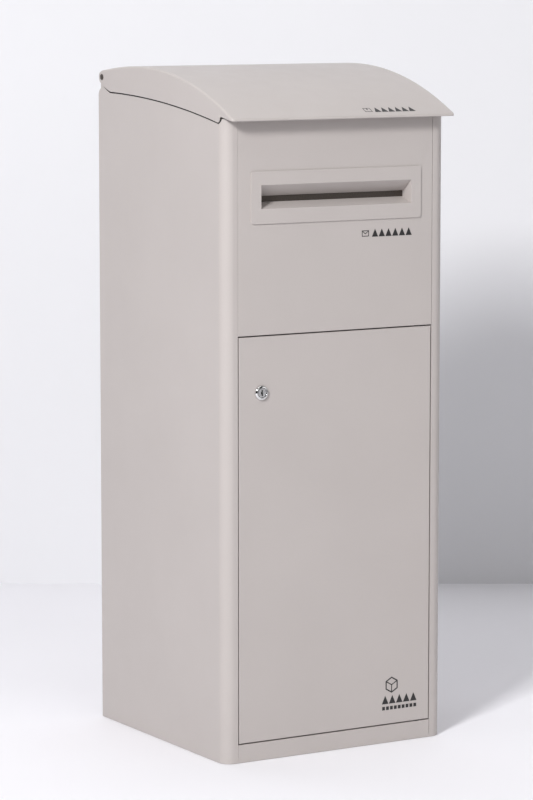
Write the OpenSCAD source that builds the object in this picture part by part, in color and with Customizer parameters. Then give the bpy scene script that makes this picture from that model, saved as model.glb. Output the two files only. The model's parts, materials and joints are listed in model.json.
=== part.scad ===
// Free-standing parcel drop box: a rounded steel cabinet with a letter slot, a curved lid over a
// drop-down parcel tray, and a flush door with a cam lock. Millimetres, +Z up.
// The origin is on the floor, at the middle of the footprint that includes the lid's visor.
// Modules are written in the cabinet's own frame: x from the middle, y back from the front face.

/* [Cabinet] */
// Width across the side panels
cab_w = 387; // [377:2:401]
// Depth from the front face to the rear flanges
cab_d = 384; // [380:2:390]
// Height of the lid's highest line above the floor
top_z = 1025; // [1005:5:1045]
// Thickness of the steel sheet
sheet = 1.2; // [1:0.1:1.4]
// Outer radius of the rounded front corners
corner_r = 18; // [15:0.5:22]
// Height of the line between the front panel and the door
split_z = 636.5; // [600:0.5:660]
// Height of the line between the door and the plinth
plinth_z = 28; // [24:1:40]

/* [Lid] */
// How far the lid stands out in front of the cabinet
visor = 25; // [20:1:30]
// Radius of the lid's curve in front of its highest line
lid_front_r = 600; // [580:2:620]
// Radius of the lid's curve behind its highest line
lid_rear_r = 780; // [740:10:820]
// Distance of the lid's highest line behind the front face
crown_y = 255; // [245:1:265]
// Angle through which the lid opens
lid_swing = 82; // [70:1:82]

/* [Parcel tray] */
// Length of the tray from its pivot to its lip
tray_len = 335; // [300:5:335]
// Height of the tray's pivot above the floor
tray_pivot_z = 785; // [780:1:790]
// Length of the crank that the lid and the tray each carry
crank_len = 50; // [46:1:52]

/* [Letter slot] */
// Width of the slot
slot_w = 262; // [230:2:270]
// Height of the slot at its mouth
slot_h = 35; // [32:1:36]
// Height of the slot's upper edge above the floor
slot_top_z = 858; // [850:1:862]
// Depth of the funnel between the mouth and the flap
funnel_d = 25; // [20:1:26]
// Width of the raised plate around the slot
plate_w = 296; // [290:2:304]

/* [Door and lock] */
// Clearance around the door
door_gap = 2; // [1.5:0.5:2.5]
// Depth of the door's folded edges
door_fold = 15; // [13:1:15]
// Distance of the lock's axis from the middle
lock_x = -130.5; // [-135:0.5:-120]
// Height of the lock's axis above the floor
lock_z = 552.5; // [500:2.5:580]
// Radius of the lock's face ring
lock_ring_r = 11.2; // [10:0.1:12]

/* [Hidden] */
$fn = 72;

paint = [0.76, 0.74, 0.72];
zinc = [0.72, 0.73, 0.74];
black = [0.08, 0.08, 0.08];
nylon = [0.12, 0.12, 0.12];

half_w = cab_w / 2;
inner_x = half_w - sheet;              // inner face of a side panel, and of a lid cheek
column_w = 23.5;                       // front of a side panel, from its outer face to its return fold
seam_x = half_w - column_w;
corner_x = half_w - corner_r;
front_y = -(cab_d - visor) / 2;        // the cabinet's front face in the part's frame
hair = 0.5;                            // seam beside the front panel and the plinth
run = 0.05;                            // radial clearance of a running fit
big_fn = 720;                          // facets of the long curves

rim_h = 4;                             // edge of the base that shows under the panels
upstand_h = 22;                        // top of the base's inner upstand
return_d = 18;                         // depth of the side panels' return folds
stop_w = 18;                           // width of the left panel's door stop
rear_flange = 20;
back_top_z = top_z - 31.5;             // upper edge of the back panel

// Lid curves
nose_r = 10;
hinge_y = cab_d - 11.5;
hinge_z = top_z - lid_rear_r + sqrt(pow(lid_rear_r - nose_r, 2) - pow(hinge_y - crown_y, 2));
side_top_r = 1900;                     // radius of the side panels' curved top edge
side_top_y = cab_d - 6;                // its highest point
side_top_z = top_z - 42.6;
lid_gap = 2;                           // between a lid cheek and the side panel below it
ear_r = 60;                            // radius of the gap where it turns up to the nose
ear_at = [hinge_y - 38.5, top_z + 17];  // its centre
ear_top_z = top_z - 35;                // top of the side panel's rear corner
lobe_r = 6.5;                          // round front end of the cheek
lobe_at = [18, top_z - 68.7];
notch = [8.8, top_z - 66.6];           // top of the step in front of the lobe
column_top_z = top_z - 69.8;           // top of the side panel in front of the lobe
lip_h = 3.1;                           // front lip of the visor
lip_z = top_z - lid_front_r + sqrt(pow(lid_front_r, 2) - pow(crown_y + visor, 2)) - lip_h;
lid_corner_r = 6;

// Linkage: the lid's crank and the tray's crank stay parallel
pivot_y = cab_d - 24;
crank_drop = 40;                       // angle of both cranks below level, lid closed
crank = crank_len * [-cos(crank_drop), -sin(crank_drop)];
lid_axis = [hinge_y, hinge_z];
tray_axis = [pivot_y, tray_pivot_z];
upper_pin = lid_axis + crank;
lower_pin = tray_axis + crank;
link_len = norm(lid_axis - tray_axis);
tray_lean = 90 - lid_swing;            // the closed tray leans forward by this much
pin_r = 4;
eye_r = 9;

// Layers at each side, as distances from the middle
head_x = half_w - 2.3;                 // outer face of the pin heads
link_x = [half_w - 7, half_w - 4.5];
arm_x = [half_w - 10.5, half_w - 7.5];
wall_x = [half_w - 7.7 - sheet, half_w - 7.7];
lug_x = [half_w - 4.7, half_w - 1.7];

// Tray, before it leans: the sheet hangs behind its pivot
tray_back = 13.5;
tray_wall = 10;                        // height of the walls in front of the pivot line
stop_r = 6;
stop_y = 80;

// Letter slot
plate_top_z = slot_top_z + 20;
plate_bottom_z = slot_top_z - 57;
plate_t = 2;
plate_corner_r = 4;
slot_bottom_z = slot_top_z - slot_h;
sill_rise = 8.5;                       // rise of the funnel's floor, from the mouth to the flap
hood_drop = 17.5;                      // drop of its roof
funnel_wall = 1.5;
funnel_y = funnel_d - plate_t;         // the funnel's narrow end
ear_x = slot_w / 2 + funnel_wall - 0.3;  // ears that hold the flap's pin
ear_t = 2.5;
flap_pin_r = 1.5;
flap_axis = [funnel_y + 5, slot_top_z - 9];
flap_half_w = ear_x - 1;
stud_pos = [[plate_w / 2 - 7, plate_bottom_z + 8], [plate_w / 2 - 7, plate_top_z - 8]];

// Front panel and plinth
panel_top_z = top_z - 73;
panel_bottom_z = split_z + door_gap / 2;
plinth_top_z = plinth_z - door_gap / 2;
panel_half_w = seam_x - hair;
lip_y = 18.5;                          // front face of the stops above and below the door
stop_from_x = -150;
stop_to_x = 134;
stop_lip_h = 15;

// Door
door_half_w = seam_x - door_gap;
door_top_z = split_z - door_gap / 2;
door_bottom_z = plinth_z + door_gap / 2;
door_axis = [seam_x - 20, door_fold / 2];
door_pin_r = 3;
bush_r = 5;
barrel_r = 9.4;
plug_r = 6.5;
ring_t = 4.2;                          // how far the face ring stands out
barrel_len = 22;
cam_t = 2.5;
cam_len = 36;

// Fixings
wall_hole_r = 4;
wall_hole_x = 125;
wall_hole_z = [300, 900];
floor_hole_r = 5.5;
floor_hole_x = 120;
floor_hole_y = [80, 300];

// ---- helpers ----

module in_cabinet() translate([0, front_y, 0]) children();
// Sweeps a shape drawn in (y, z) along x
module along_x(x0, x1) translate([x0, 0, 0]) rotate([90, 0, 90]) linear_extrude(x1 - x0) children();
// Sweeps a shape drawn in (x, z) along y
module along_y(y0, y1) translate([0, y1, 0]) rotate([90, 0, 0]) linear_extrude(y1 - y0) children();
module along_z(z0, z1) translate([0, 0, z0]) linear_extrude(z1 - z0) children();
module both_sides() {
    children();
    mirror([1, 0, 0]) children();
}
module right_side() mirror([1, 0, 0]) children();
module box(low, high) translate(low) cube(high - low);
// A bar with round ends between two points
module bar_2d(a, b, r) {
    translate(a) circle(r);
    translate(b) circle(r);
    translate(a) rotate(atan2(b[1] - a[1], b[0] - a[0])) translate([0, -r]) square([norm(b - a), 2 * r]);
}
module rounded_square(low, high, r) {
    translate(low + [r, 0]) square([high[0] - low[0] - 2 * r, high[1] - low[1]]);
    translate(low + [0, r]) square([high[0] - low[0], high[1] - low[1] - 2 * r]);
    for (x = [low[0] + r, high[0] - r], y = [low[1] + r, high[1] - r]) translate([x, y]) circle(r);
}

// ---- cabinet ----

// Plan of the cabinet, inset all round, with its two rounded front corners
module plan(inset) {
    r = corner_r - inset;
    translate([-half_w + inset, corner_r]) square([cab_w - 2 * inset, cab_d - inset - corner_r]);
    translate([-corner_x, inset]) square([2 * corner_x, cab_d - 2 * inset]);
    for (side = [-1, 1]) translate([side * corner_x, corner_r]) circle(r);
}

// Everything below the side panels' curved top edge, drawn in (y, z)
module under_top_edge(raise) {
    translate([side_top_y, side_top_z - side_top_r]) circle(side_top_r + raise, $fn = big_fn);
}

// Side panel on the left: outer wall, rounded corner, return fold, door stop and rear flange
module side_panel(with_stop) {
    rear_r = 13;
    intersection() {
        along_z(rim_h, top_z) {
            intersection() {
                difference() {
                    plan(0);
                    plan(sheet);
                }
                union() {
                    translate([-half_w, -1]) square([column_w, cab_d + 2]);
                    translate([-half_w, cab_d - sheet]) square([rear_flange, sheet]);
                }
            }
            translate([-seam_x - sheet, 0]) square([sheet, return_d + sheet]);
            if (with_stop) translate([-seam_x - sheet, return_d]) square([stop_w + sheet, sheet]);
        }
        along_x(-half_w - 1, 0) {
            intersection() {
                difference() {
                    union() {
                        under_top_edge(0);
                        square([lobe_at[0] - 4, column_top_z]);
                    }
                    translate(lobe_at) circle(lobe_r + 1.2 * lid_gap);
                }
                square([cab_d - rear_r, column_top_z + 100]);
            }
            difference() {
                union() {
                    translate([ear_at[0] + 10, 0]) square([cab_d - rear_r - ear_at[0] - 10, ear_top_z]);
                    square([cab_d, ear_top_z - rear_r]);
                    translate([cab_d - rear_r, ear_top_z - rear_r]) circle(rear_r);
                }
                translate(ear_at) circle(ear_r + lid_gap / 2);
                difference() {
                    square([ear_at[0] + 16, top_z]);
                    under_top_edge(-0.01);
                }
            }
        }
    }
}
module left_side_panel() color(paint) in_cabinet() side_panel(true);
module right_side_panel() color(paint) in_cabinet() right_side() side_panel(false);

// Rubber strips behind the gap between the lid and the side panels, which keep rain out
module rain_strips() color(black) in_cabinet() both_sides() intersection() {
    along_z(top_z - 120, top_z) intersection() {
        difference() {
            plan(sheet + 0.25);
            plan(sheet + 1);
        }
        translate([-half_w, 0]) square([column_w - sheet - 0.4, ear_at[0] + 4]);
    }
    along_x(-half_w, 0) difference() {
        under_top_edge(7);
        under_top_edge(-14);
    }
}

module back_panel() color(paint) in_cabinet() {
    y1 = cab_d - sheet;
    difference() {
        union() {
            box([-inner_x + 0.5, y1 - sheet, rim_h], [inner_x - 0.5, y1, side_top_z - 8]);
            box([-lug_x[0] + 2, y1 - sheet, side_top_z - 9], [lug_x[0] - 2, y1, back_top_z]);
            box([-lug_x[0] + 2, y1 - 12, back_top_z - sheet], [lug_x[0] - 2, y1, back_top_z]);
        }
        along_y(y1 - 5, y1 + 5)
            for (x = [-wall_hole_x, wall_hole_x], z = wall_hole_z) translate([x, z]) circle(wall_hole_r);
    }
}

// Floor plate with a folded rim that shows, and an upstand inside the panels
module base_pan() color(paint) in_cabinet() {
    upstand_in = sheet + 0.3;
    difference() {
        union() {
            along_z(0, sheet) plan(0);
            along_z(0, rim_h) difference() {
                plan(0);
                plan(sheet);
            }
            along_z(0, upstand_h) intersection() {
                difference() {
                    plan(upstand_in);
                    plan(upstand_in + sheet);
                }
                // Upstands on the two sides only
                translate([-half_w, 40]) square([cab_w, cab_d - 70]);
            }
        }
        for (x = [-floor_hole_x, floor_hole_x], y = floor_hole_y)
            translate([x, y, -1]) cylinder(r = floor_hole_r, h = 10);
    }
}

module floor_mat() color(black) in_cabinet() difference() {
    box([-inner_x + 8, 24, sheet], [inner_x - 8, cab_d - 10, sheet + 4]);
    for (x = [-floor_hole_x, floor_hole_x], y = floor_hole_y) translate([x, y, 0]) cylinder(r = 20, h = 10);
}

// Stop for the door: a shelf behind the front face with a lip turned along the door's edge
module door_shelf(z_face, lip_dir) {
    z0 = min(z_face, z_face - lip_dir * sheet);
    box([-panel_half_w, 0, z0], [panel_half_w, return_d - 2, z0 + sheet]);
    box([stop_from_x, 0, z0], [panel_half_w, lip_y + sheet, z0 + sheet]);
    z1 = z_face + lip_dir * stop_lip_h;
    box([stop_from_x, lip_y, min(z1, z0)], [stop_to_x, lip_y + sheet, max(z1, z0 + sheet)]);
}

module front_panel() color(paint) in_cabinet() difference() {
    union() {
        box([-panel_half_w, 0, panel_bottom_z], [panel_half_w, sheet, panel_top_z]);
        box([-panel_half_w, 0, panel_top_z - sheet], [panel_half_w, 20, panel_top_z]);
        both_sides()
            box([panel_half_w - sheet, 0, panel_bottom_z], [panel_half_w, return_d - 2, panel_top_z]);
        door_shelf(panel_bottom_z, -1);
    }
    along_y(-1, 5) {
        translate([-slot_w / 2 - 3, slot_bottom_z - 3]) square([slot_w + 6, slot_h + 6]);
        for (s = [-1, 1], p = stud_pos) translate([s * p[0], p[1]]) circle(2.3);
    }
    translate([door_axis[0], door_axis[1], panel_bottom_z - 1]) cylinder(r = door_pin_r, h = 5);
    rivet_holes(panel_rivet_z);
}

module plinth_rail() color(paint) in_cabinet() difference() {
    union() {
        box([-panel_half_w, 0, rim_h], [panel_half_w, sheet, plinth_top_z]);
        both_sides()
            box([panel_half_w - sheet, 0, rim_h], [panel_half_w, return_d - 2, plinth_top_z]);
        door_shelf(plinth_top_z, 1);
    }
    translate([door_axis[0], door_axis[1], plinth_top_z - 3]) cylinder(r = door_pin_r, h = 5);
    rivet_holes(plinth_rivet_z);
}

// Blind rivets that join the front panel and the plinth to the side panels' return folds
rivet_r = 2;
rivet_y = 10;
panel_rivet_z = [680, 760, 900, 935];
plinth_rivet_z = [15];
module rivet_holes(heights) {
    for (z = heights) translate([-half_w, rivet_y, z]) rotate([0, 90, 0]) cylinder(r = rivet_r, h = cab_w);
}
module rivets(heights) {
    both_sides() for (z = heights) translate([panel_half_w - sheet, rivet_y, z]) rotate([0, 90, 0]) {
        translate([0, 0, -1.2]) cylinder(r = 2 * rivet_r, h = 1.2);
        cylinder(r = rivet_r - 0.02, h = sheet + hair);
    }
}
module panel_rivets() color(zinc) in_cabinet() rivets(panel_rivet_z);
module plinth_rivets() color(zinc) in_cabinet() rivets(plinth_rivet_z);

// Rivet heads that fix the base's upstands to the side panels
module base_rivets() color(zinc) in_cabinet() both_sides()
    for (y = [80, 190, 300]) translate([inner_x - 0.3 - sheet - 1.2, y, 14]) rotate([0, 90, 0])
        cylinder(r = 2 * rivet_r, h = 1.2);

module strike_plate() color(zinc) in_cabinet()
    box([-seam_x + 1, return_d + sheet, lock_z - 22], [-seam_x + stop_w, return_d + sheet + 1.5, lock_z + 22]);

// Foam strips that the closed door presses against
module door_seal() color(black) in_cabinet() {
    y0 = door_fold + 0.5;
    box([-seam_x + 2, y0, door_bottom_z + 2], [-seam_x + 13, return_d, door_top_z - 2]);
    for (z = [door_bottom_z + 2, door_top_z - 11])
        box([stop_from_x + 2, y0, z], [stop_to_x, lip_y, z + 9]);
}

// Pins that the door swings on, riveted into the shelves above and below it
module door_hinge_pins() color(zinc) in_cabinet() translate([door_axis[0], door_axis[1], 0]) {
    translate([0, 0, door_top_z - 8]) cylinder(r = door_pin_r - 0.02, h = 8 + door_gap + sheet);
    translate([0, 0, panel_bottom_z + sheet]) cylinder(r = 5, h = 2);
    translate([0, 0, plinth_top_z - sheet]) cylinder(r = door_pin_r - 0.02, h = 8 + door_gap + sheet);
    translate([0, 0, plinth_top_z - sheet - 2]) cylinder(r = 5, h = 2);
}

// ---- letter slot ----

// The tapering space inside the funnel, grown by a wall and by an extra length at both ends
module funnel_space(wall, extra) {
    rise = sill_rise / funnel_d;
    drop = hood_drop / funnel_d;
    half = slot_w / 2 + wall;
    y0 = -plate_t - extra;
    y1 = funnel_y + extra;
    reach = funnel_d + extra;
    along_x(-half, half) polygon([
        [y0, slot_bottom_z - wall - rise * extra], [y1, slot_bottom_z - wall + rise * reach],
        [y1, slot_top_z + wall - drop * reach], [y0, slot_top_z + wall + drop * extra]
    ]);
}
module letter_plate() color(paint) in_cabinet() difference() {
    union() {
        along_y(-plate_t, 0) rounded_square(
            [-plate_w / 2, plate_bottom_z], [plate_w / 2, plate_top_z], plate_corner_r);
        funnel_space(funnel_wall, 0);
        both_sides() along_x(ear_x, ear_x + ear_t) {
            polygon([
                [sheet + 1, slot_bottom_z + 8], [funnel_y - 0.5, slot_bottom_z + 14],
                flap_axis + [3.4, -1], flap_axis + [-1, 3.6], [sheet + 1, slot_top_z - 4]
            ]);
            translate(flap_axis) circle(4);
        }
        for (s = [-1, 1], p = stud_pos) translate([s * p[0], 0, p[1]]) rotate([-90, 0, 0])
            cylinder(r = 2, h = 9);
    }
    funnel_space(0, 1);
    along_x(-slot_w, slot_w) translate(flap_axis) circle(flap_pin_r);
}

module letter_plate_nuts() color(zinc) in_cabinet()
    for (s = [-1, 1], p = stud_pos) translate([s * p[0], sheet, p[1]]) rotate([-90, 0, 0])
        difference() {
            cylinder(r = 4.2, h = 3.2, $fn = 6);
            translate([0, 0, -1]) cylinder(r = 2.05, h = 6);
        }

module flap_pin() color(zinc) in_cabinet() {
    pin_end = ear_x + ear_t;
    along_x(-pin_end, pin_end) translate(flap_axis) circle(flap_pin_r - 0.02);
    both_sides() along_x(pin_end, pin_end + 1) translate(flap_axis) circle(2.5);
}

// Torsion springs wound round the pin between the flap's knuckles
spring_wire = 0.5;
spring_turns = 6;
spring_x = 30;
module flap_springs() color(zinc) in_cabinet() both_sides()
    for (turn = [0:spring_turns - 1]) along_x(spring_x + turn * 2.4 * spring_wire,
        spring_x + (turn * 2.4 + 2) * spring_wire) translate(flap_axis) difference() {
            circle(flap_pin_r + 0.3 + 2 * spring_wire);
            circle(flap_pin_r + 0.3);
        }

module letter_flap() color(black) in_cabinet() {
    flap_y = funnel_y + 0.4;
    flap_t = 1;
    bottom_z = slot_bottom_z + sill_rise - 3;
    top_edge_z = flap_axis[1] - 4.5;
    along_x(-flap_half_w, flap_half_w) {
        translate([flap_y, bottom_z]) square([flap_t, top_edge_z - bottom_z]);
        translate([flap_y + flap_t, bottom_z + 1]) circle(1);
    }
    both_sides() along_x(50, flap_half_w) difference() {
        union() {
            translate(flap_axis) circle(3);
            polygon([
                [flap_y, top_edge_z - 0.5], [flap_y + 1, top_edge_z - 0.5],
                flap_axis + [-1, -2.6], flap_axis + [-2.8, -1]
            ]);
        }
        translate(flap_axis) circle(flap_pin_r + run);
    }
}

// ---- lid ----

// Everything under the lid's outer curve except its rear nose, inset, drawn in (y, z)
module lid_arcs(inset) {
    rear_centre = [crown_y, top_z - lid_rear_r];
    toward_hinge = (lid_axis - rear_centre) / norm(lid_axis - rear_centre);
    intersection() {
        translate([crown_y, top_z - lid_front_r]) circle(lid_front_r - inset, $fn = big_fn);
        translate([crown_y - 400, 0]) square([400, top_z]);
    }
    intersection() {
        translate(rear_centre) circle(lid_rear_r - inset, $fn = big_fn);
        polygon([rear_centre, rear_centre + [0, 1000], rear_centre + 1000 * toward_hinge]);
    }
}
module lid_outline(inset) {
    lid_arcs(inset);
    if (inset < nose_r) translate(lid_axis) circle(nose_r + 0.05 - inset);
}

// Side view of the lid: the outer curve above, the cheek's edge, the notch and the visor below
module lid_side_2d() {
    difference() {
        lid_arcs(0);
        intersection() {
            under_top_edge(lid_gap);
            translate([lobe_at[0], 0]) square([cab_d, top_z]);
        }
        difference() {
            translate([ear_at[0] + 5, 0]) square([100, ear_at[1]]);
            translate(ear_at) circle(ear_r - lid_gap / 2);
        }
        polygon([
            [-100, top_z - 300], lobe_at + [0.1, -300], lobe_at + [0.1, 0], lobe_at + [1 - lobe_r, 1],
            notch, [-visor, lip_z], [-100, lip_z]
        ]);
    }
    translate(lobe_at) circle(lobe_r);
    translate(lid_axis) circle(nose_r + 0.05);
}

module lid_plan_2d() {
    rounded_square([-half_w, -visor], [half_w, crown_y], lid_corner_r);
    translate([-half_w, crown_y - 20]) square([cab_w, cab_d - crown_y + 20]);
}

module lid_shell() color(paint) in_cabinet() difference() {
    intersection() {
        along_x(-half_w, half_w) lid_side_2d();
        along_z(top_z - 120, top_z + 1) lid_plan_2d();
    }
    along_x(-inner_x, inner_x) intersection() {
        lid_outline(sheet);
        translate([sheet - visor, 0]) square([cab_d + visor, top_z]);
    }
    // Room for the hinge lugs beside each cheek
    both_sides() along_x(lug_x[0] - 1, inner_x - 0.3) translate(lid_axis) rotate(41)
        intersection() {
            circle(nose_r + 1);
            translate([-20, -20]) square([40, 21.2]);
        }
    both_sides() along_x(inner_x - 1, half_w + 1) translate(lid_axis) circle(pin_r + run);
}

// Top-hat rib under the lid, across its width
module lid_stiffener() color(paint) in_cabinet() along_x(-arm_x[0] + 8, arm_x[0] - 8) {
    flange = 12;
    y0 = 110;
    y1 = 190;
    depth = 12;
    difference() {
        intersection() {
            lid_outline(sheet + 0.02);
            union() {
                translate([y0, 0]) square([y1 - y0, top_z]);
            }
        }
        lid_outline(sheet + 0.02 + depth);
        for (y = [y0, y1 - flange]) intersection() {
            lid_outline(2 * sheet);
            translate([y - 0.1, 0]) square([flange + 0.1, top_z]);
        }
        intersection() {
            difference() {
                lid_outline(0);
                lid_outline(depth);
            }
            translate([y0 + flange + sheet, 0]) square([y1 - y0 - 2 * flange - 2 * sheet, top_z]);
        }
    }
}

module lid_arm() along_x(-arm_x[1], -arm_x[0]) difference() {
    intersection() {
        union() {
            bar_2d(upper_pin, [hinge_y - 30, hinge_z + 5], eye_r);
            polygon([
                upper_pin + [-eye_r, 2], upper_pin + [eye_r, -2], [hinge_y - 16, top_z], [hinge_y - 70, top_z]
            ]);
        }
        lid_outline(sheet + 0.05);
    }
    translate(upper_pin) circle(pin_r);
}
module left_lid_arm() color(zinc) in_cabinet() lid_arm();
module right_lid_arm() color(zinc) in_cabinet() right_side() lid_arm();

// Lug on the cabinet that carries the lid's hinge pin, with a pad against the side panel
module hinge_lug() {
    foot_z = side_top_z - 28;
    difference() {
        union() {
            along_x(-lug_x[1], -lug_x[0]) {
                translate([hinge_y - 7, foot_z]) square([14, hinge_z - foot_z]);
                translate([hinge_y - 21, foot_z]) square([20, 16]);
                translate(lid_axis) circle(7);
            }
            along_x(-inner_x, -lug_x[0] - 1) translate([hinge_y - 19, foot_z + 2]) square([24, 12]);
        }
        along_x(-half_w, 0) translate(lid_axis) circle(pin_r);
    }
}
module left_hinge_lug() color(paint) in_cabinet() hinge_lug();
module right_hinge_lug() color(paint) in_cabinet() right_side() hinge_lug();

module lid_hinge_pins() color(black) in_cabinet() both_sides() {
    along_x(lug_x[0] - 2.5, half_w) translate(lid_axis) circle(pin_r - 0.02);
    along_x(half_w + 0.2, half_w + 1) translate(lid_axis) circle(pin_r + 0.6);
    along_x(half_w - 0.1, half_w + 0.3) translate(lid_axis) circle(pin_r - 0.02);
}

module lid_hinge_clips() color(zinc) in_cabinet() both_sides() along_x(lug_x[0] - 1.6, lug_x[0] - 0.6)
    translate(lid_axis) difference() {
        circle(pin_r + 2.2);
        circle(pin_r);
    }

module lid_buffers() color(black) in_cabinet() both_sides() translate([120, 12, panel_top_z]) {
    cylinder(r = 7, h = 12);
    translate([0, 0, 12]) cylinder(r1 = 7, r2 = 5.5, h = 3.8);
}

// ---- linkage ----

module link() along_x(-link_x[1], -link_x[0]) difference() {
    bar_2d(lower_pin, upper_pin, eye_r);
    translate(upper_pin) circle(pin_r + run);
    translate(lower_pin) circle(pin_r + run);
}
module left_link() color(zinc) in_cabinet() link();
module right_link() color(zinc) in_cabinet() right_side() link();

// Shouldered pin with a head outside the link and a riveted head inside the arm or wall
module link_pin(at, inner_face) both_sides() {
    along_x(-head_x, -link_x[1] - 0.2) translate(at) circle(pin_r + 2.5);
    along_x(-link_x[1] - 0.2, -inner_face) translate(at) circle(pin_r - 0.02);
    along_x(-inner_face, -inner_face + 1.8) translate(at) circle(pin_r + 2);
}
module upper_link_pins() color(zinc) in_cabinet() link_pin(upper_pin, arm_x[0]);
module lower_link_pins() color(zinc) in_cabinet() link_pin(lower_pin, wall_x[0]);

// ---- parcel tray ----

// Puts a shape drawn about the tray's pivot at the pivot, leaning as the closed tray does
module on_tray() translate([0, pivot_y, tray_pivot_z]) rotate([-tray_lean, 0, 0]) children();

// The crank pin in the tray's own frame
tray_crank = [
    crank[0] * cos(tray_lean) - crank[1] * sin(tray_lean),
    crank[0] * sin(tray_lean) + crank[1] * cos(tray_lean)
];

module tray_wall_2d() difference() {
    union() {
        circle(eye_r + 1);
        polygon([
            [tray_back, 8], [-2, eye_r + 1], [-eye_r, 3], tray_crank + [-eye_r - 2, 2],
            tray_crank + [-eye_r - 2, -8], [-tray_wall, -120], [-tray_wall, -tray_len + 8],
            [-tray_wall + 8, -tray_len], [tray_back, -tray_len]
        ]);
    }
    circle(pin_r + run);
    translate(tray_crank) circle(pin_r);
}

module parcel_tray() color(paint) in_cabinet() on_tray() {
    box([-wall_x[1], tray_back - sheet, -tray_len], [wall_x[1], tray_back, 8]);
    box([-wall_x[1], tray_back - 12, -tray_len], [wall_x[1], tray_back, -tray_len + sheet]);
    both_sides() along_x(wall_x[0], wall_x[1]) tray_wall_2d();
}

// Rubber edging pushed over the tray's lip
module tray_lip_trim() color(black) in_cabinet() on_tray() difference() {
    box([-wall_x[0] + 12, tray_back - 15, -tray_len - 2], [wall_x[0] - 12, tray_back - 8, -tray_len + 3.2]);
    box([-wall_x[0] + 10, tray_back - 12, -tray_len], [wall_x[0] - 10, tray_back, -tray_len + sheet]);
}

module tray_bracket() difference() {
    union() {
        along_x(-inner_x, -inner_x + 1.5) translate(tray_axis) translate([-14, -30]) square([28, 60]);
        along_x(-inner_x + 1.5, -wall_x[1] - 1) translate(tray_axis) circle(11);
    }
    along_x(-half_w, 0) translate(tray_axis) circle(pin_r);
}
module left_tray_bracket() color(zinc) in_cabinet() tray_bracket();
module right_tray_bracket() color(zinc) in_cabinet() right_side() tray_bracket();

module tray_pivot_pins() color(zinc) in_cabinet() both_sides() {
    along_x(wall_x[0] - 0.5, inner_x) translate(tray_axis) circle(pin_r - 0.02);
    along_x(wall_x[0] - 2.5, wall_x[0] - 0.5) translate(tray_axis) circle(pin_r + 2.5);
}

// Rubber rollers that the raised tray's walls meet, which is what stops the lid
module tray_stops() color(black) in_cabinet() both_sides() along_x(wall_x[0] - 2, inner_x)
    translate([stop_y, tray_pivot_z + tray_wall + stop_r + 0.5]) circle(stop_r);

// ---- door and lock ----

module door_skin() color(paint) in_cabinet() difference() {
    box([-door_half_w, 0, door_bottom_z], [door_half_w, door_fold, door_top_z]);
    box([-door_half_w + sheet, sheet, door_bottom_z + sheet],
        [door_half_w - sheet, door_fold + 1, door_top_z - sheet]);
    translate([lock_x, -1, lock_z]) rotate([-90, 0, 0]) cylinder(r = barrel_r + 0.1, h = 5);
    for (z = [door_bottom_z - 1, door_top_z - sheet - 1])
        translate([door_axis[0], door_axis[1], z]) cylinder(r = bush_r, h = sheet + 2);
}

module door_stiffeners() color(paint) in_cabinet()
    for (x = [-60, 70]) translate([x, 0, 0]) along_z(door_bottom_z + 20, door_top_z - 20) {
        depth = 10;
        translate([-20, sheet]) square([10, sheet]);
        translate([10, sheet]) square([10, sheet]);
        translate([-10 - sheet, sheet]) square([sheet, depth]);
        translate([10, sheet]) square([sheet, depth]);
        translate([-10 - sheet, sheet + depth - sheet]) square([20 + 2 * sheet, sheet]);
    }

// Nylon bushes in the door's top and bottom folds, with collars that fill the gap
module door_bushes() color(nylon) in_cabinet() translate([door_axis[0], door_axis[1], 0]) {
    collar = door_gap - 0.3;
    difference() {
        union() {
            translate([0, 0, door_top_z - 5]) cylinder(r = bush_r - 0.02, h = 5);
            translate([0, 0, door_top_z]) cylinder(r = bush_r + 1.5, h = collar);
            translate([0, 0, door_bottom_z]) cylinder(r = bush_r - 0.02, h = 5);
            translate([0, 0, door_bottom_z - collar]) cylinder(r = bush_r + 1.5, h = collar);
        }
        cylinder(r = door_pin_r + run, h = top_z);
    }
}

module at_lock() translate([lock_x, 0, lock_z]) rotate([-90, 0, 0]) children();

module lock_barrel() color(zinc) in_cabinet() at_lock() difference() {
    union() {
        translate([0, 0, -1.4]) cylinder(r = lock_ring_r, h = 1.4);
        translate([0, 0, -ring_t]) cylinder(r1 = lock_ring_r - 2.6, r2 = lock_ring_r, h = ring_t - 1.4);
        cylinder(r = barrel_r, h = barrel_len);
    }
    translate([0, 0, -ring_t - 1]) cylinder(r = plug_r + 1, h = 2);
    translate([0, 0, -5]) cylinder(r = plug_r + run, h = barrel_len + 10);
}

module lock_nut() color(zinc) in_cabinet() at_lock() translate([0, 0, sheet]) difference() {
    cylinder(r = 13.8, h = 4.5, $fn = 6);
    translate([0, 0, -1]) cylinder(r = barrel_r + 0.02, h = 8);
}

module lock_plug() color(zinc) in_cabinet() at_lock() difference() {
    union() {
        translate([0, 0, 0.6 - ring_t]) cylinder(r = plug_r, h = barrel_len + ring_t - 0.4);
        translate([-3.5, -3.5, barrel_len]) cube([7, 7, cam_t + 0.4]);
    }
    // Keyway, upright when the lock is open
    translate([-1, -4.6, -ring_t]) cube([2, 9.2, 16]);
    translate([-2.2, -1.8, -ring_t]) cube([1.5, 3.6, 16]);
    translate([0, 0, barrel_len - 4]) cylinder(r = 1.5, h = 12);
}

// Cam on the plug's square end. It hangs down when open, and a quarter turn puts it behind the strike
module lock_cam() color(zinc) in_cabinet() translate([lock_x, barrel_len + 0.3, lock_z])
    along_y(0, cam_t) difference() {
        union() {
            circle(9);
            bar_2d([0, 0], [0, 7 - cam_len], 7);
        }
        translate([-3.52, -3.52]) square([7.04, 7.04]);
    }

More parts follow.
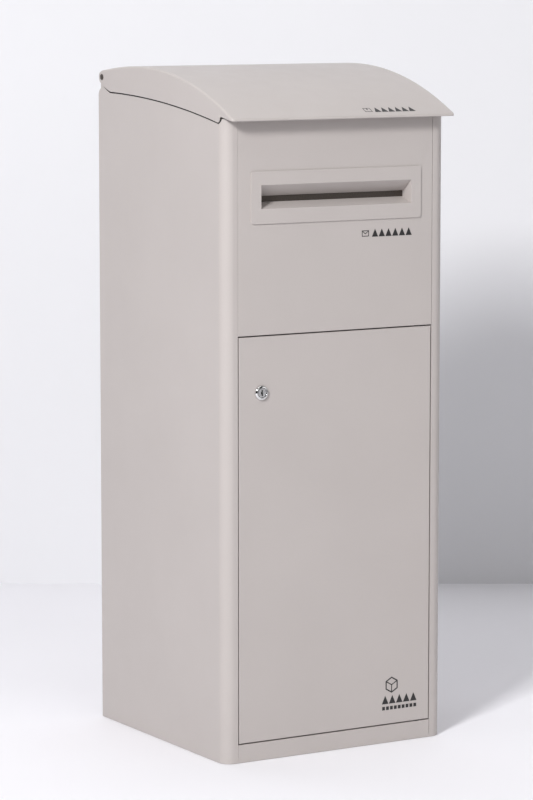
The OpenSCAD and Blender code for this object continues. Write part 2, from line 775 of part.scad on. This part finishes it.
module cam_screw() color(zinc) in_cabinet() at_lock() {
    translate([0, 0, barrel_len - 3]) cylinder(r = 1.48, h = 3 + cam_t + 0.4);
    translate([0, 0, barrel_len + cam_t + 0.4]) cylinder(r = 5.5, h = 2);
}

left_side_panel();
right_side_panel();
rain_strips();
back_panel();
base_pan();
floor_mat();
front_panel();
plinth_rail();
letter_plate();
letter_plate_nuts();
flap_pin();
flap_springs();
strike_plate();
left_hinge_lug();
right_hinge_lug();
lid_hinge_pins();
lid_hinge_clips();
left_tray_bracket();
right_tray_bracket();
tray_pivot_pins();
tray_stops();
lid_buffers();
door_hinge_pins();
door_seal();
panel_rivets();
plinth_rivets();
base_rivets();
lid_shell();
lid_stiffener();
left_lid_arm();
right_lid_arm();
upper_link_pins();
left_link();
right_link();
parcel_tray();
tray_lip_trim();
lower_link_pins();
door_skin();
door_stiffeners();
door_bushes();
lock_barrel();
lock_nut();
lock_plug();
lock_cam();
cam_screw();
letter_flap();
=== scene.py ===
"""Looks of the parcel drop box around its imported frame: painted steel, chrome lock, rubber and print."""

import math

import bmesh
import bpy
from mathutils import Matrix, Vector
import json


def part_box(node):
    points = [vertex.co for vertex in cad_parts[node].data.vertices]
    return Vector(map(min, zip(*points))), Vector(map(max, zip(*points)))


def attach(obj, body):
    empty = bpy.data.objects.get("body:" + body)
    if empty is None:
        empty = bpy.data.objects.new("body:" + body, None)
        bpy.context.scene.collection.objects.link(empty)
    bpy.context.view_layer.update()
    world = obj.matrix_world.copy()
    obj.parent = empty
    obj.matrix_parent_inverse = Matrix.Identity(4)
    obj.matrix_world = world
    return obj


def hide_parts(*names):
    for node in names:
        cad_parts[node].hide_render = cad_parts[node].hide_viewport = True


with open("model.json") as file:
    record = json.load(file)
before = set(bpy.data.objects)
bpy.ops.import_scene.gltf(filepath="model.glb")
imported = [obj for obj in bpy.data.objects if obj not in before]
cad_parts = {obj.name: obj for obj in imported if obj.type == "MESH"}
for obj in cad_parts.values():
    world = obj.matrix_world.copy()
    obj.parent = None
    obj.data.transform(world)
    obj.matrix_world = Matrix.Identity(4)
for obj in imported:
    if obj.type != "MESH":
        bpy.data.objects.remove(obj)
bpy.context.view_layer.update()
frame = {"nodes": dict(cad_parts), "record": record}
NODES = frame["nodes"]
MM = 0.001


# ---- colours and node helpers ----


def srgb(r, g, b):
    """Linear colour of an sRGB colour given in 0 to 255."""

    def lin(c):
        c /= 255
        return c / 12.92 if c <= 0.04045 else ((c + 0.055) / 1.055) ** 2.4

    return (lin(r), lin(g), lin(b), 1)


class Nodes:
    """A small builder for a material's node tree."""

    def __init__(self, name):
        self.mat = bpy.data.materials.new(name)
        self.mat.use_nodes = True
        self.tree = self.mat.node_tree
        self.bsdf = self.tree.nodes["Principled BSDF"]
        coord = self.tree.nodes.new("ShaderNodeTexCoord")
        self.at = coord.outputs["Object"]

    def set(self, **values):
        for k, v in values.items():
            self.bsdf.inputs[k.replace("_", " ")].default_value = v

    def link(self, a, b):
        self.tree.links.new(a, b)

    def scaled(self, scale):
        n = self.tree.nodes.new("ShaderNodeMapping")
        n.inputs["Scale"].default_value = scale
        self.link(self.at, n.inputs["Vector"])
        return n.outputs["Vector"]

    def noise(self, size, detail=2.0, roughness=0.5, stretch=None):
        """Noise whose features are about size metres across."""
        n = self.tree.nodes.new("ShaderNodeTexNoise")
        n.inputs["Scale"].default_value = 1 / size
        n.inputs["Detail"].default_value = detail
        n.inputs["Roughness"].default_value = roughness
        self.link(self.scaled(stretch) if stretch else self.at, n.inputs["Vector"])
        return n.outputs["Fac"]

    def voronoi(self, size):
        """Distance to the nearest cell centre, for cells about size metres across."""
        n = self.tree.nodes.new("ShaderNodeTexVoronoi")
        n.inputs["Scale"].default_value = 1 / size
        self.link(self.at, n.inputs["Vector"])
        return n.outputs["Distance"]

    def span(self, fac, low, high, start=0.3, end=0.7):
        """fac mapped from start..end to low..high."""
        n = self.tree.nodes.new("ShaderNodeMapRange")
        n.inputs["From Min"].default_value = start
        n.inputs["From Max"].default_value = end
        n.inputs["To Min"].default_value = low
        n.inputs["To Max"].default_value = high
        self.link(fac, n.inputs["Value"])
        return n.outputs["Result"]

    def mix(self, fac, a, b):
        """Colour a blended towards b by fac. a and b are colours or sockets."""
        n = self.tree.nodes.new("ShaderNodeMix")
        n.data_type = "RGBA"
        for socket, v in ((n.inputs["Factor"], fac), (n.inputs["A"], a), (n.inputs["B"], b)):
            if isinstance(v, (tuple, float)):
                socket.default_value = v
            else:
                self.link(v, socket)
        return n.outputs["Result"]

    def bump(self, height, distance, strength, after=None):
        """Bump of distance metres on the surface, on top of the bump called after."""
        n = self.tree.nodes.new("ShaderNodeBump")
        n.inputs["Strength"].default_value = strength
        n.inputs["Distance"].default_value = distance
        self.link(height, n.inputs["Height"])
        if after:
            self.link(after, n.inputs["Normal"])
        self.link(n.outputs["Normal"], self.bsdf.inputs["Normal"])
        return n.outputs["Normal"]

    def colour(self, socket):
        self.link(socket, self.bsdf.inputs["Base Color"])

    def roughness(self, socket):
        self.link(socket, self.bsdf.inputs["Roughness"])


# ---- materials ----


def powder_coat():
    """Fine-textured satin powder coat in warm light grey."""
    m = Nodes("powder_coat")
    m.set(Specular_IOR_Level=0.45)
    broad = m.noise(0.16, 2.0)
    speck = m.noise(0.0011, 1.0)
    tone = m.mix(m.span(broad, 0.0, 1.0), srgb(183, 176, 173), srgb(186, 179, 176))
    tone = m.mix(m.span(speck, 0.0, 0.5, 0.5, 0.8), tone, srgb(178, 171, 168))
    m.colour(tone)
    m.roughness(m.span(m.noise(0.03, 2.0), 0.39, 0.46))
    fine = m.bump(m.noise(0.0016, 2.0, 0.6), 0.00005, 0.5)
    m.bump(m.noise(0.007, 1.0), 0.00006, 0.25, after=fine)
    return m.mat


def zinc():
    """Bright zinc plating with a faint spangle."""
    m = Nodes("zinc_plate")
    m.set(Metallic=1.0)
    cells = m.voronoi(0.006)
    m.colour(m.mix(m.span(cells, 0.0, 1.0, 0.1, 0.7), srgb(176, 178, 181), srgb(198, 199, 201)))
    m.roughness(m.span(m.noise(0.004, 3.0), 0.28, 0.42))
    m.bump(m.noise(0.0006, 2.0), 0.00002, 0.4)
    return m.mat


def chrome():
    """Polished chrome plating on the lock."""
    m = Nodes("chrome")
    m.set(Metallic=1.0)
    m.colour(m.mix(m.span(m.noise(0.004, 2.0), 0.0, 1.0), srgb(216, 215, 214), srgb(228, 228, 228)))
    m.roughness(m.span(m.noise(0.0012, 3.0, stretch=(1, 1, 6)), 0.05, 0.13))
    m.bump(m.noise(0.0004, 2.0, stretch=(1, 1, 5)), 0.000006, 0.4)
    return m.mat


def rubber():
    """Matt black rubber."""
    m = Nodes("rubber")
    m.set(Specular_IOR_Level=0.35)
    m.colour(m.mix(m.span(m.noise(0.02, 3.0), 0.0, 1.0), srgb(34, 34, 35), srgb(46, 45, 45)))
    m.roughness(m.span(m.noise(0.003, 3.0), 0.62, 0.85))
    m.bump(m.noise(0.0009, 3.0, 0.7), 0.00008, 0.6)
    return m.mat


def nylon():
    """Black nylon."""
    m = Nodes("nylon")
    m.colour(m.mix(m.span(m.noise(0.003, 2.0), 0.0, 1.0), srgb(38, 38, 39), srgb(50, 49, 49)))
    m.roughness(m.span(m.noise(0.002, 2.0), 0.4, 0.55))
    m.bump(m.noise(0.0005, 2.0), 0.00002, 0.4)
    return m.mat


def dark_steel_and_painted_shade():
    """Dark steel for the pins and the letter flap; its warm brown-grey tone is painted shade, set to the
    dark shade inside the letter slot rather than the flap's own colour.
    """
    m = Nodes("dark_steel_and_painted_shade")
    m.set(Metallic=0.6)
    # warm brown-grey: painted shade of the letter slot's recess, shared by the pins
    m.colour(m.mix(m.span(m.noise(0.002, 3.0), 0.0, 1.0), srgb(70, 64, 60), srgb(84, 76, 71)))
    m.roughness(m.span(m.noise(0.001, 2.0), 0.35, 0.5))
    m.bump(m.noise(0.0005, 2.0), 0.00002, 0.4)
    return m.mat


def print_ink():
    """Black ink of the printed marks."""
    m = Nodes("print_ink")
    m.colour(m.mix(m.span(m.noise(0.0012, 2.0), 0.0, 1.0), srgb(28, 26, 27), srgb(40, 38, 38)))
    m.roughness(m.span(m.noise(0.001, 2.0), 0.4, 0.55))
    m.bump(m.noise(0.0006, 2.0), 0.00001, 0.4)
    return m.mat


MATERIALS = {
    "powder_coat": powder_coat(),
    "zinc_steel": zinc(),
    "lock_chrome": chrome(),
    "rubber": rubber(),
    "nylon": nylon(),
    # the letter flap and the pins share this slot; its brown-grey colour is painted shade
    "black_pin": dark_steel_and_painted_shade(),
}
INK = print_ink()
SLOT_OF = {s["node"]: s["material_slot"] for s in frame["record"]["subparts"]}
BODY_OF = {n: b for b, ns in frame["record"]["behaviour"]["bodies"].items() for n in ns}


# ---- mesh helpers ----


def shade(obj, angle):
    """Smooth shading with edges sharper than angle kept, and normals weighted by face area."""
    obj.data.polygons.foreach_set("use_smooth", [True] * len(obj.data.polygons))
    obj.data.set_sharp_from_angle(angle=math.radians(angle))
    m = obj.modifiers.new("normals", "WEIGHTED_NORMAL")
    m.keep_sharp = True
    m.weight = 60


def chamfer(obj, width):
    """Breaks the edges sharper than 40 degrees by width mm."""
    m = obj.modifiers.new("edges", "BEVEL")
    m.width = width * MM
    m.segments = 2
    m.limit_method = "ANGLE"
    m.angle_limit = math.radians(40)
    m.use_clamp_overlap = True


def placed(name, bm, material):
    """The bmesh as an object in the scene, with one material."""
    mesh = bpy.data.meshes.new(name)
    bm.to_mesh(mesh)
    bm.free()
    obj = bpy.data.objects.new(name, mesh)
    bpy.context.scene.collection.objects.link(obj)
    mesh.materials.append(material)
    return obj


def piece(name, bm, slot, body, node, edge, angle=35):
    """A finished piece from a bmesh in metres, in place of the CAD node."""
    obj = placed(name, bm, MATERIALS[slot])
    chamfer(obj, edge)
    shade(obj, angle)
    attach(obj, body)
    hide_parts(node)


def cad_copy(node):
    """The node's solid as a bmesh, with shared corners and whole flat faces."""
    bm = bmesh.new()
    bm.from_mesh(NODES[node].data)
    bmesh.ops.remove_doubles(bm, verts=bm.verts, dist=1e-6)
    bmesh.ops.dissolve_limit(
        bm, angle_limit=math.radians(0.2), verts=bm.verts, edges=bm.edges, delimit=set()
    )
    bm.normal_update()
    return bm


BEND_FACE, BEND_LENGTH = 4.0, 6.0  # a bend joins faces wider than this along an edge longer than this, in mm


def fold(bm, outer, inner):
    """Rounds the bends of folded sheet: edges between two wide faces, outer radius outside, inner inside."""

    def width(f, e):
        return f.calc_area() / max(e.calc_length(), 1e-9)

    for radius, convex in ((outer, True), (inner, False)):
        edges = [
            e
            for e in bm.edges
            if len(e.link_faces) == 2
            and e.calc_face_angle(0) > math.radians(50)
            and e.is_convex == convex
            and e.calc_length() > BEND_LENGTH * MM
            and min(width(f, e) for f in e.link_faces) > BEND_FACE * MM
        ]
        if edges:
            bmesh.ops.bevel(
                bm, geom=edges, offset=radius * MM, segments=4, profile=0.5,
                affect="EDGES", clamp_overlap=True,
            )
            bm.normal_update()


def refined(node, edge, bends=None):
    """The CAD solid with broken edges, and with bends rounded to (outer, inner) radii if they are given."""
    bm = cad_copy(node)
    if bends:
        fold(bm, *bends)
    piece("v_" + node, bm, SLOT_OF[node], BODY_OF[node], node, edge)


# ---- the camera and the room ----

CAMERA_AT = (-2.60157, -4.32989, 1.16681)
LENS, PITCH, HEADING = 148.985, 7.372, -30.864  # mm, degrees down and degrees from +Y
WALL_AWAY = 6.27  # metres from the camera to the wall

cam_data = bpy.data.cameras.new("camera")
cam_data.lens = LENS
cam_data.sensor_width = 36
cam_data.clip_end = 60
camera = bpy.data.objects.new("camera", cam_data)
bpy.context.scene.collection.objects.link(camera)
camera.location = CAMERA_AT
camera.rotation_euler = (math.radians(90 - PITCH), 0, math.radians(HEADING))
bpy.context.scene.camera = camera

view = bpy.context.scene.view_settings
view.view_transform = "Standard"
view.look = "None"


def clear_from_behind(m):
    """Makes the surface see-through from its back, so that it hides nothing from a camera behind it."""
    facing_away = m.tree.nodes.new("ShaderNodeNewGeometry").outputs["Backfacing"]
    clear = m.tree.nodes.new("ShaderNodeBsdfTransparent")
    both = m.tree.nodes.new("ShaderNodeMixShader")
    m.link(facing_away, both.inputs[0])
    m.link(m.bsdf.outputs["BSDF"], both.inputs[1])
    m.link(clear.outputs["BSDF"], both.inputs[2])
    m.link(both.outputs["Shader"], m.tree.nodes["Material Output"].inputs["Surface"])


def stage_plane(name, colour, half_size, matrix):
    """A matt square of the room, faintly uneven in tone."""
    m = Nodes(name)
    m.set(Roughness=0.7, Specular_IOR_Level=0.2)
    lighter = tuple(min(1, c * 1.015) for c in colour)
    m.colour(m.mix(m.span(m.noise(0.8, 1.0), 0.0, 1.0), colour, lighter))
    clear_from_behind(m)
    bm = bmesh.new()
    bmesh.ops.create_grid(bm, x_segments=1, y_segments=1, size=half_size)
    obj = placed(name, bm, m.mat)
    obj.matrix_world = matrix


stage_plane("floor", srgb(244, 243, 247), 4.5, Matrix.Translation((0, 0, -0.0005)))
look = Vector((0.51315, 0.8583, 0))
wall_at = Vector((CAMERA_AT[0], CAMERA_AT[1], 0)) + WALL_AWAY * look
facing_camera = look.to_track_quat("Z", "Y").to_matrix().to_4x4() @ Matrix.Rotation(math.pi, 4, "Y")
stage_plane("wall", srgb(229, 229, 232), 14, Matrix.Translation(wall_at) @ facing_camera)


def area_light(name, at, toward, size, power):
    """A rectangular light of size metres and power watts."""
    data = bpy.data.lights.new(name, "AREA")
    data.shape = "RECTANGLE"
    data.size, data.size_y = size
    data.energy = power
    obj = bpy.data.objects.new(name, data)
    obj.location = at
    obj.rotation_euler = (Vector(toward) - Vector(at)).to_track_quat("-Z", "Y").to_euler()
    bpy.context.scene.collection.objects.link(obj)


area_light("key", (-3.55, -2.59, 2.89), (0, 0, 0.5), (0.8, 0.9), 219)
area_light("front", (-0.6, -5.2, 2.6), (0, 0, 0.5), (3, 3), 31)
area_light("top", (-0.3, -0.6, 4.0), (0, 0, 0), (3, 3), 41)
area_light("right", (3.2, -3.4, 1.8), (0, 0, 0.5), (2.5, 2.5), 27)

world = bpy.data.worlds.new("world")
world.use_nodes = True
sky = world.node_tree
fill = sky.nodes["Background"]
fill.inputs["Color"].default_value = srgb(250, 250, 255)
fill.inputs["Strength"].default_value = 0.02
backdrop = sky.nodes.new("ShaderNodeBackground")  # seen past the floor's edge, and lights nothing
backdrop.inputs["Color"].default_value = srgb(236, 236, 239)
both = sky.nodes.new("ShaderNodeMixShader")
sky.links.new(sky.nodes.new("ShaderNodeLightPath").outputs["Is Camera Ray"], both.inputs[0])
sky.links.new(fill.outputs["Background"], both.inputs[1])
sky.links.new(backdrop.outputs["Background"], both.inputs[2])
sky.links.new(both.outputs["Shader"], sky.nodes["World Output"].inputs["Surface"])
bpy.context.scene.world = world


# ---- the lid ----

# in mm, with y from the cabinet's front face and z from the floor
CAB_Y = -179.5  # the cabinet's front face in the frame
TOP, HALF = 1025.0, 193.5
VISOR, CROWN, R_FRONT, R_REAR = 25.0, 255.0, 600.0, 780.0  # overhang, highest point and the two arcs
NOSE_R = 10.0  # the rolled rear edge about the hinge
HINGE = (372.5, TOP - R_REAR + math.sqrt((R_REAR - NOSE_R) ** 2 - (372.5 - CROWN) ** 2))
SHEET = 1.2
LIP_H = 3.1  # height of the visor's front lip
NOTCH = (8.8, TOP - 66.6)
LOBE, LOBE_R = (18.0, TOP - 68.7), 6.5
EAR, EAR_R = (334.0, TOP + 17), 59.0  # the sweep at the cheek's rear
SIDE_TOP, SIDE_R = (378.0, TOP - 42.6), 1902.0  # the long arc above the side panel
CREASE_R, CORNER_R, CREASE_STEPS = 3.4, 6.0, 6  # along the cheeks' upper edge, and at the visor's corners
LUG_ROOM = 5.7  # the rear hem stops this far inside the cheeks
HEM_START, HEM_SWEEP, HEM_STEPS = 49, 148, 14  # degrees about the hinge


def arc_y(r, dy):
    """Height of a circle above its centre at dy from it."""
    return math.sqrt(max(0.0, r * r - dy * dy))


def lid_top(y):
    """Height of the lid's outer surface at y, in the cabinet's frame."""
    if y <= CROWN:
        return TOP - R_FRONT + arc_y(R_FRONT, y - CROWN)
    if y <= HINGE[0] + NOSE_R * (HINGE[0] - CROWN) / (R_REAR - NOSE_R):
        return TOP - R_REAR + arc_y(R_REAR, y - CROWN)
    return HINGE[1] + arc_y(NOSE_R, y - HINGE[0])


def lid_low(y):
    """Height of the lower edge of the lid's cheek at y: lip, notch, round lobe, long arc and rear sweep."""
    lip = lid_top(-VISOR) - LIP_H
    if y <= NOTCH[0]:
        return lip + (NOTCH[1] - lip) * (y + VISOR) / (NOTCH[0] + VISOR)
    lobe_front = LOBE[0] - LOBE_R
    if y < lobe_front:
        return NOTCH[1] + (LOBE[1] - NOTCH[1]) * (y - NOTCH[0]) / (lobe_front - NOTCH[0])
    low = SIDE_TOP[1] - SIDE_R + 2 + arc_y(SIDE_R, y - SIDE_TOP[0])
    if y < LOBE[0] + LOBE_R:
        lobe = LOBE[1] - arc_y(LOBE_R, y - LOBE[0])
        low = lobe if y < LOBE[0] else min(low, lobe)
    if y > EAR[0] + 5:
        low = max(low, EAR[1] - arc_y(EAR_R, y - EAR[0]))
    if y > HINGE[0] - NOSE_R:
        low = min(low, HINGE[1] - arc_y(NOSE_R, y - HINGE[0]))
    if y > HINGE[0] + 1:
        low = HINGE[1] - arc_y(NOSE_R, y - HINGE[0])
    return low


def make_lid():
    """The lid's curved sheet: a skin with rounded creases and corners, thickened inwards."""
    bm = bmesh.new()
    # behind room_y the skin is cut away beside the lugs
    room_y = HINGE[0] + NOSE_R * math.cos(math.radians(HEM_START))
    ys = {-VISOR + CORNER_R, room_y, NOTCH[0] - 1.5, NOTCH[0], NOTCH[0] + 0.5, NOTCH[0] + 1.5}
    ys |= {float(y) for y in range(-15, 5, 5)}
    ys |= {LOBE[0] - LOBE_R * math.cos(math.radians(a)) for a in range(0, 130, 10)}
    ys |= {float(y) for y in range(26, 336, 8)} | {float(y) for y in range(336, 370, 3)}
    ys |= {HINGE[0] + NOSE_R * math.cos(math.radians(a)) for a in (81.2, 72, 64, 56)}
    ys = sorted(ys)
    loop = [(-HALF, y, -1.0, 0.0) for y in reversed(ys)]
    for k in range(1, 9):
        t = math.radians(90 * k / 8)
        nx, ny = -math.cos(t), -math.sin(t)
        loop.append((-HALF + CORNER_R + CORNER_R * nx, -VISOR + CORNER_R + CORNER_R * ny, nx, ny))
    loop += [(-x, y, -nx, ny) for x, y, nx, ny in reversed(loop)]

    def vert(x, y, z):
        return bm.verts.new((x * MM, (y + CAB_Y) * MM, z * MM))

    columns = []
    for bx, by, nx, ny in loop:
        low = lid_low(by)
        beside_lugs = 1.5 + 0.2 * max(0.0, room_y - 14 - by)
        r = min(CREASE_R, 0.45 * (lid_top(by) - low) + 0.4, beside_lugs)
        column = []
        for k in range(CREASE_STEPS + 1):
            phi = math.pi / 2 * k / CREASE_STEPS
            inset = r * (1 - math.sin(phi))
            x, y = bx - nx * inset, by - ny * inset
            column.append(vert(x, y, lid_top(y) - r * (1 - math.cos(phi))))
        column.append(vert(bx, by, low))
        columns.append(column)
    for a, b in zip(columns, columns[1:]):
        for k in range(CREASE_STEPS + 1):
            bm.faces.new((a[k], a[k + 1], b[k + 1], b[k]))
    n = len(columns)
    slit = HALF - LUG_ROOM
    rear = columns[0], columns[-1]
    notch = vert(-slit, room_y, lid_top(room_y)), vert(slit, room_y, lid_top(room_y))
    for i in range(n // 2 - 1):
        left, right = columns[i][0], columns[n - 1 - i][0]
        left2, right2 = columns[i + 1][0], columns[n - 2 - i][0]
        if i == 0:
            bm.faces.new((left, notch[0], notch[1], right, right2, left2))
        else:
            bm.faces.new((left, right, right2, left2))
    # the rolled rear hem between the lugs
    last = notch
    for k in range(1, HEM_STEPS + 1):
        t = math.radians(HEM_START - HEM_SWEEP * k / HEM_STEPS)
        y, z = HINGE[0] + NOSE_R * math.cos(t), HINGE[1] + NOSE_R * math.sin(t)
        new = vert(-slit, y, z), vert(slit, y, z)
        bm.faces.new((last[0], new[0], new[1], last[1]))
        last = new
    # the cheeks' round ends behind the cut
    for side, column in ((-1, rear[0]), (1, rear[1])):
        prev = column[-2], column[-1]
        for k in range(1, 5):
            y = room_y + (HINGE[0] + NOSE_R - 0.02 - room_y) * k / 4
            top, low = vert(side * HALF, y, lid_top(y)), vert(side * HALF, y, lid_low(y))
            bm.faces.new((prev[0], prev[1], low, top))
            prev = top, low
    bmesh.ops.recalc_face_normals(bm, faces=bm.faces)
    top_face = max(bm.faces, key=lambda f: f.calc_area() * abs(f.normal.z))
    if top_face.normal.z < 0:
        bmesh.ops.reverse_faces(bm, faces=bm.faces)
    obj = placed("v_lid_shell", bm, MATERIALS["powder_coat"])
    m = obj.modifiers.new("sheet", "SOLIDIFY")
    m.thickness = SHEET * MM
    m.offset = -1
    m.use_even_offset = True
    shade(obj, 30)
    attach(obj, "lid")
    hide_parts("lid_shell")


make_lid()

# ---- sheet metal taken from the frame ----

for node in ("front_panel", "plinth_rail", "door_skin", "parcel_tray"):
    refined(node, 0.18, bends=(1.3, 0.25))

BROKEN_EDGES = {
    0.45: ["letter_plate"],
    0.2: [
        "left_side_panel", "right_side_panel", "back_panel", "base_pan", "lid_stiffener", "door_stiffeners",
    ],
    0.25: [
        "letter_flap", "strike_plate", "left_hinge_lug", "right_hinge_lug", "left_tray_bracket",
        "right_tray_bracket", "left_lid_arm", "right_lid_arm", "left_link", "right_link", "lock_cam",
        "lock_nut",
    ],
    0.3: [
        "lid_hinge_pins", "tray_pivot_pins", "upper_link_pins", "lower_link_pins", "panel_rivets",
        "plinth_rivets", "base_rivets", "door_hinge_pins", "lid_buffers", "tray_stops", "lock_plug",
        "cam_screw", "door_bushes", "letter_plate_nuts", "flap_pin", "tray_lip_trim", "door_seal",
        # rain_strips: guessed black rubber strips behind the gap under the lid's cheeks; their black is
        # painted shade that darkens the gap line
        "floor_mat", "lid_hinge_clips", "flap_springs", "rain_strips",
    ],
}
for broken, nodes in BROKEN_EDGES.items():
    for node in nodes:
        refined(node, broken)


# ---- the lock's barrel, turned from bar with a domed face ring ----


TURN_STEPS = 96


def turned(name, profile, at, slot, body, node):
    """A solid of revolution about the axis at[0], at[1] in x and z. The profile gives radius and y."""
    bm = bmesh.new()
    rings = []
    for k in range(TURN_STEPS):
        t = 2 * math.pi * k / TURN_STEPS
        c, s = math.cos(t) * MM, math.sin(t) * MM
        rings.append([bm.verts.new((at[0] + r * c, y * MM, at[1] + r * s)) for r, y in profile])
    for a, b in zip(rings, rings[1:] + rings[:1]):
        for i in range(len(profile)):
            j = (i + 1) % len(profile)
            bm.faces.new((a[i], a[j], b[j], b[i]))
    bmesh.ops.recalc_face_normals(bm, faces=bm.faces)
    piece(name, bm, slot, body, node, edge=0.15, angle=32)


barrel_low, barrel_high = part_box("lock_barrel")
lock_at = [(barrel_low[i] + barrel_high[i]) / 2 for i in (0, 2)]
RING_R = (barrel_high[0] - barrel_low[0]) / 2 / MM
FACE_Y, BARREL_END = barrel_low[1] / MM, barrel_high[1] / MM
BORE_R, BARREL_R, RECESS_R = 6.55, 9.4, 7.5
DOME, GROOVE = 3.0, 2.6  # rounding of the face ring's rim, depth of the recess inside it
ring_edge = [
    (RING_R - DOME + DOME * math.cos(math.radians(a)), FACE_Y + DOME - DOME * math.sin(math.radians(a)))
    for a in range(0, 91, 10)
]
turned(
    "v_lock_barrel",
    [(BARREL_R, BARREL_END), (BARREL_R, CAB_Y), (RING_R, CAB_Y)]
    + ring_edge
    + [(RECESS_R, FACE_Y), (RECESS_R, FACE_Y + GROOVE), (BORE_R, FACE_Y + GROOVE), (BORE_R, BARREL_END)],
    lock_at,
    "lock_chrome",
    "door",
    "lock_barrel",
)


# ---- printed marks ----


def stroke(points, width, closed=False):
    """Quads along a polyline, mitred at its corners."""
    pts = [Vector(p) for p in points]
    n = len(pts)
    sides = []
    for i in range(n):
        before = pts[i] - pts[i - 1] if (closed or i > 0) else pts[1] - pts[0]
        after = pts[(i + 1) % n] - pts[i] if (closed or i < n - 1) else pts[-1] - pts[-2]
        before.normalize(), after.normalize()
        nb, na = Vector((-before.y, before.x)), Vector((-after.y, after.x))
        mitre = (nb + na).normalized()
        reach = width / 2 / max(0.3, mitre.dot(na))
        sides.append((pts[i] + mitre * reach, pts[i] - mitre * reach))
    runs = range(n if closed else n - 1)
    return [[sides[i][0], sides[i][1], sides[(i + 1) % n][1], sides[(i + 1) % n][0]] for i in runs]


def triangles(x0, x1, z0, z1, count):
    """A row of solid triangles that point up."""
    pitch = (x1 - x0) / count
    return [
        [(x0 + (k + 0.03) * pitch, z0), (x0 + (k + 0.97) * pitch, z0), (x0 + (k + 0.5) * pitch, z1)]
        for k in range(count)
    ]


def box_line(x0, x1, z0, z1, width):
    """A rectangle in outline."""
    return stroke([(x0, z0), (x1, z0), (x1, z1), (x0, z1)], width, closed=True)


INK_LIFT = 0.05  # the print's middle above the paint


def printed(name, polygons, place, body):
    """Thin raised print from flat polygons, laid on the surface by place."""
    bm = bmesh.new()
    for polygon in polygons:
        bm.faces.new([bm.verts.new(place(p[0], p[1])) for p in polygon])
    bmesh.ops.remove_doubles(bm, verts=bm.verts, dist=1e-7)
    bmesh.ops.recalc_face_normals(bm, faces=bm.faces)
    obj = placed(name, bm, INK)
    m = obj.modifiers.new("ink", "SOLIDIFY")
    m.thickness = 0.06 * MM
    m.offset = 0
    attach(obj, body)


def on_front(x, z):
    return (x * MM, (CAB_Y - INK_LIFT) * MM, z * MM)


def on_lid(x, y):
    return (x * MM, (y + CAB_Y) * MM, (lid_top(y) + INK_LIFT) * MM)


envelope = box_line(44.8, 56.2, 776.0, 784.0, 1.2)
envelope += stroke([(45.4, 783.4), (50.5, 779.4), (55.6, 783.4)], 1.2)
printed("mark_letters", envelope + triangles(61.5, 133.5, 774.6, 786.4, 6), on_front, "cabinet")
parcel = box_line(41.8, 53.4, -13.6, -4.4, 1.1) + stroke([(47.6, -5.0), (47.6, -9.2)], 2.2)
printed("mark_parcels", parcel + triangles(57.5, 130, -15.0, -2.4, 6), on_lid, "lid")


def cube_mark(cx, cz, r):
    """An isometric cube in outline."""
    dx, dz = math.cos(math.radians(30)) * r, r / 2
    rim = [
        (cx, cz + r), (cx + dx, cz + dz), (cx + dx, cz - dz),
        (cx, cz - r), (cx - dx, cz - dz), (cx - dx, cz + dz),
    ]
    ends = [(cx, cz - r + 1), (cx - dx + 1, cz + dz - 0.6), (cx + dx - 1, cz + dz - 0.6)]
    inside = [stroke([(cx, cz), end], 1.6) for end in ends]
    return stroke(rim, 2.0, closed=True) + sum(inside, [])


def dashes(x0, x1, z0, z1, count, share):
    """A row of bars, each filling share of its pitch."""
    pitch = (x1 - x0) / count
    gap = pitch * (1 - share) / 2
    bars = [(x0 + k * pitch + gap, x0 + (k + 1) * pitch - gap) for k in range(count)]
    return [[(a, z0), (b, z0), (b, z1), (a, z1)] for a, b in bars]


printed(
    "mark_door",
    cube_mark(101, 89, 11.5) + triangles(83, 147, 60, 73, 5) + dashes(83, 147, 50.5, 56, 9, 0.72),
    on_front,
    "door",
)
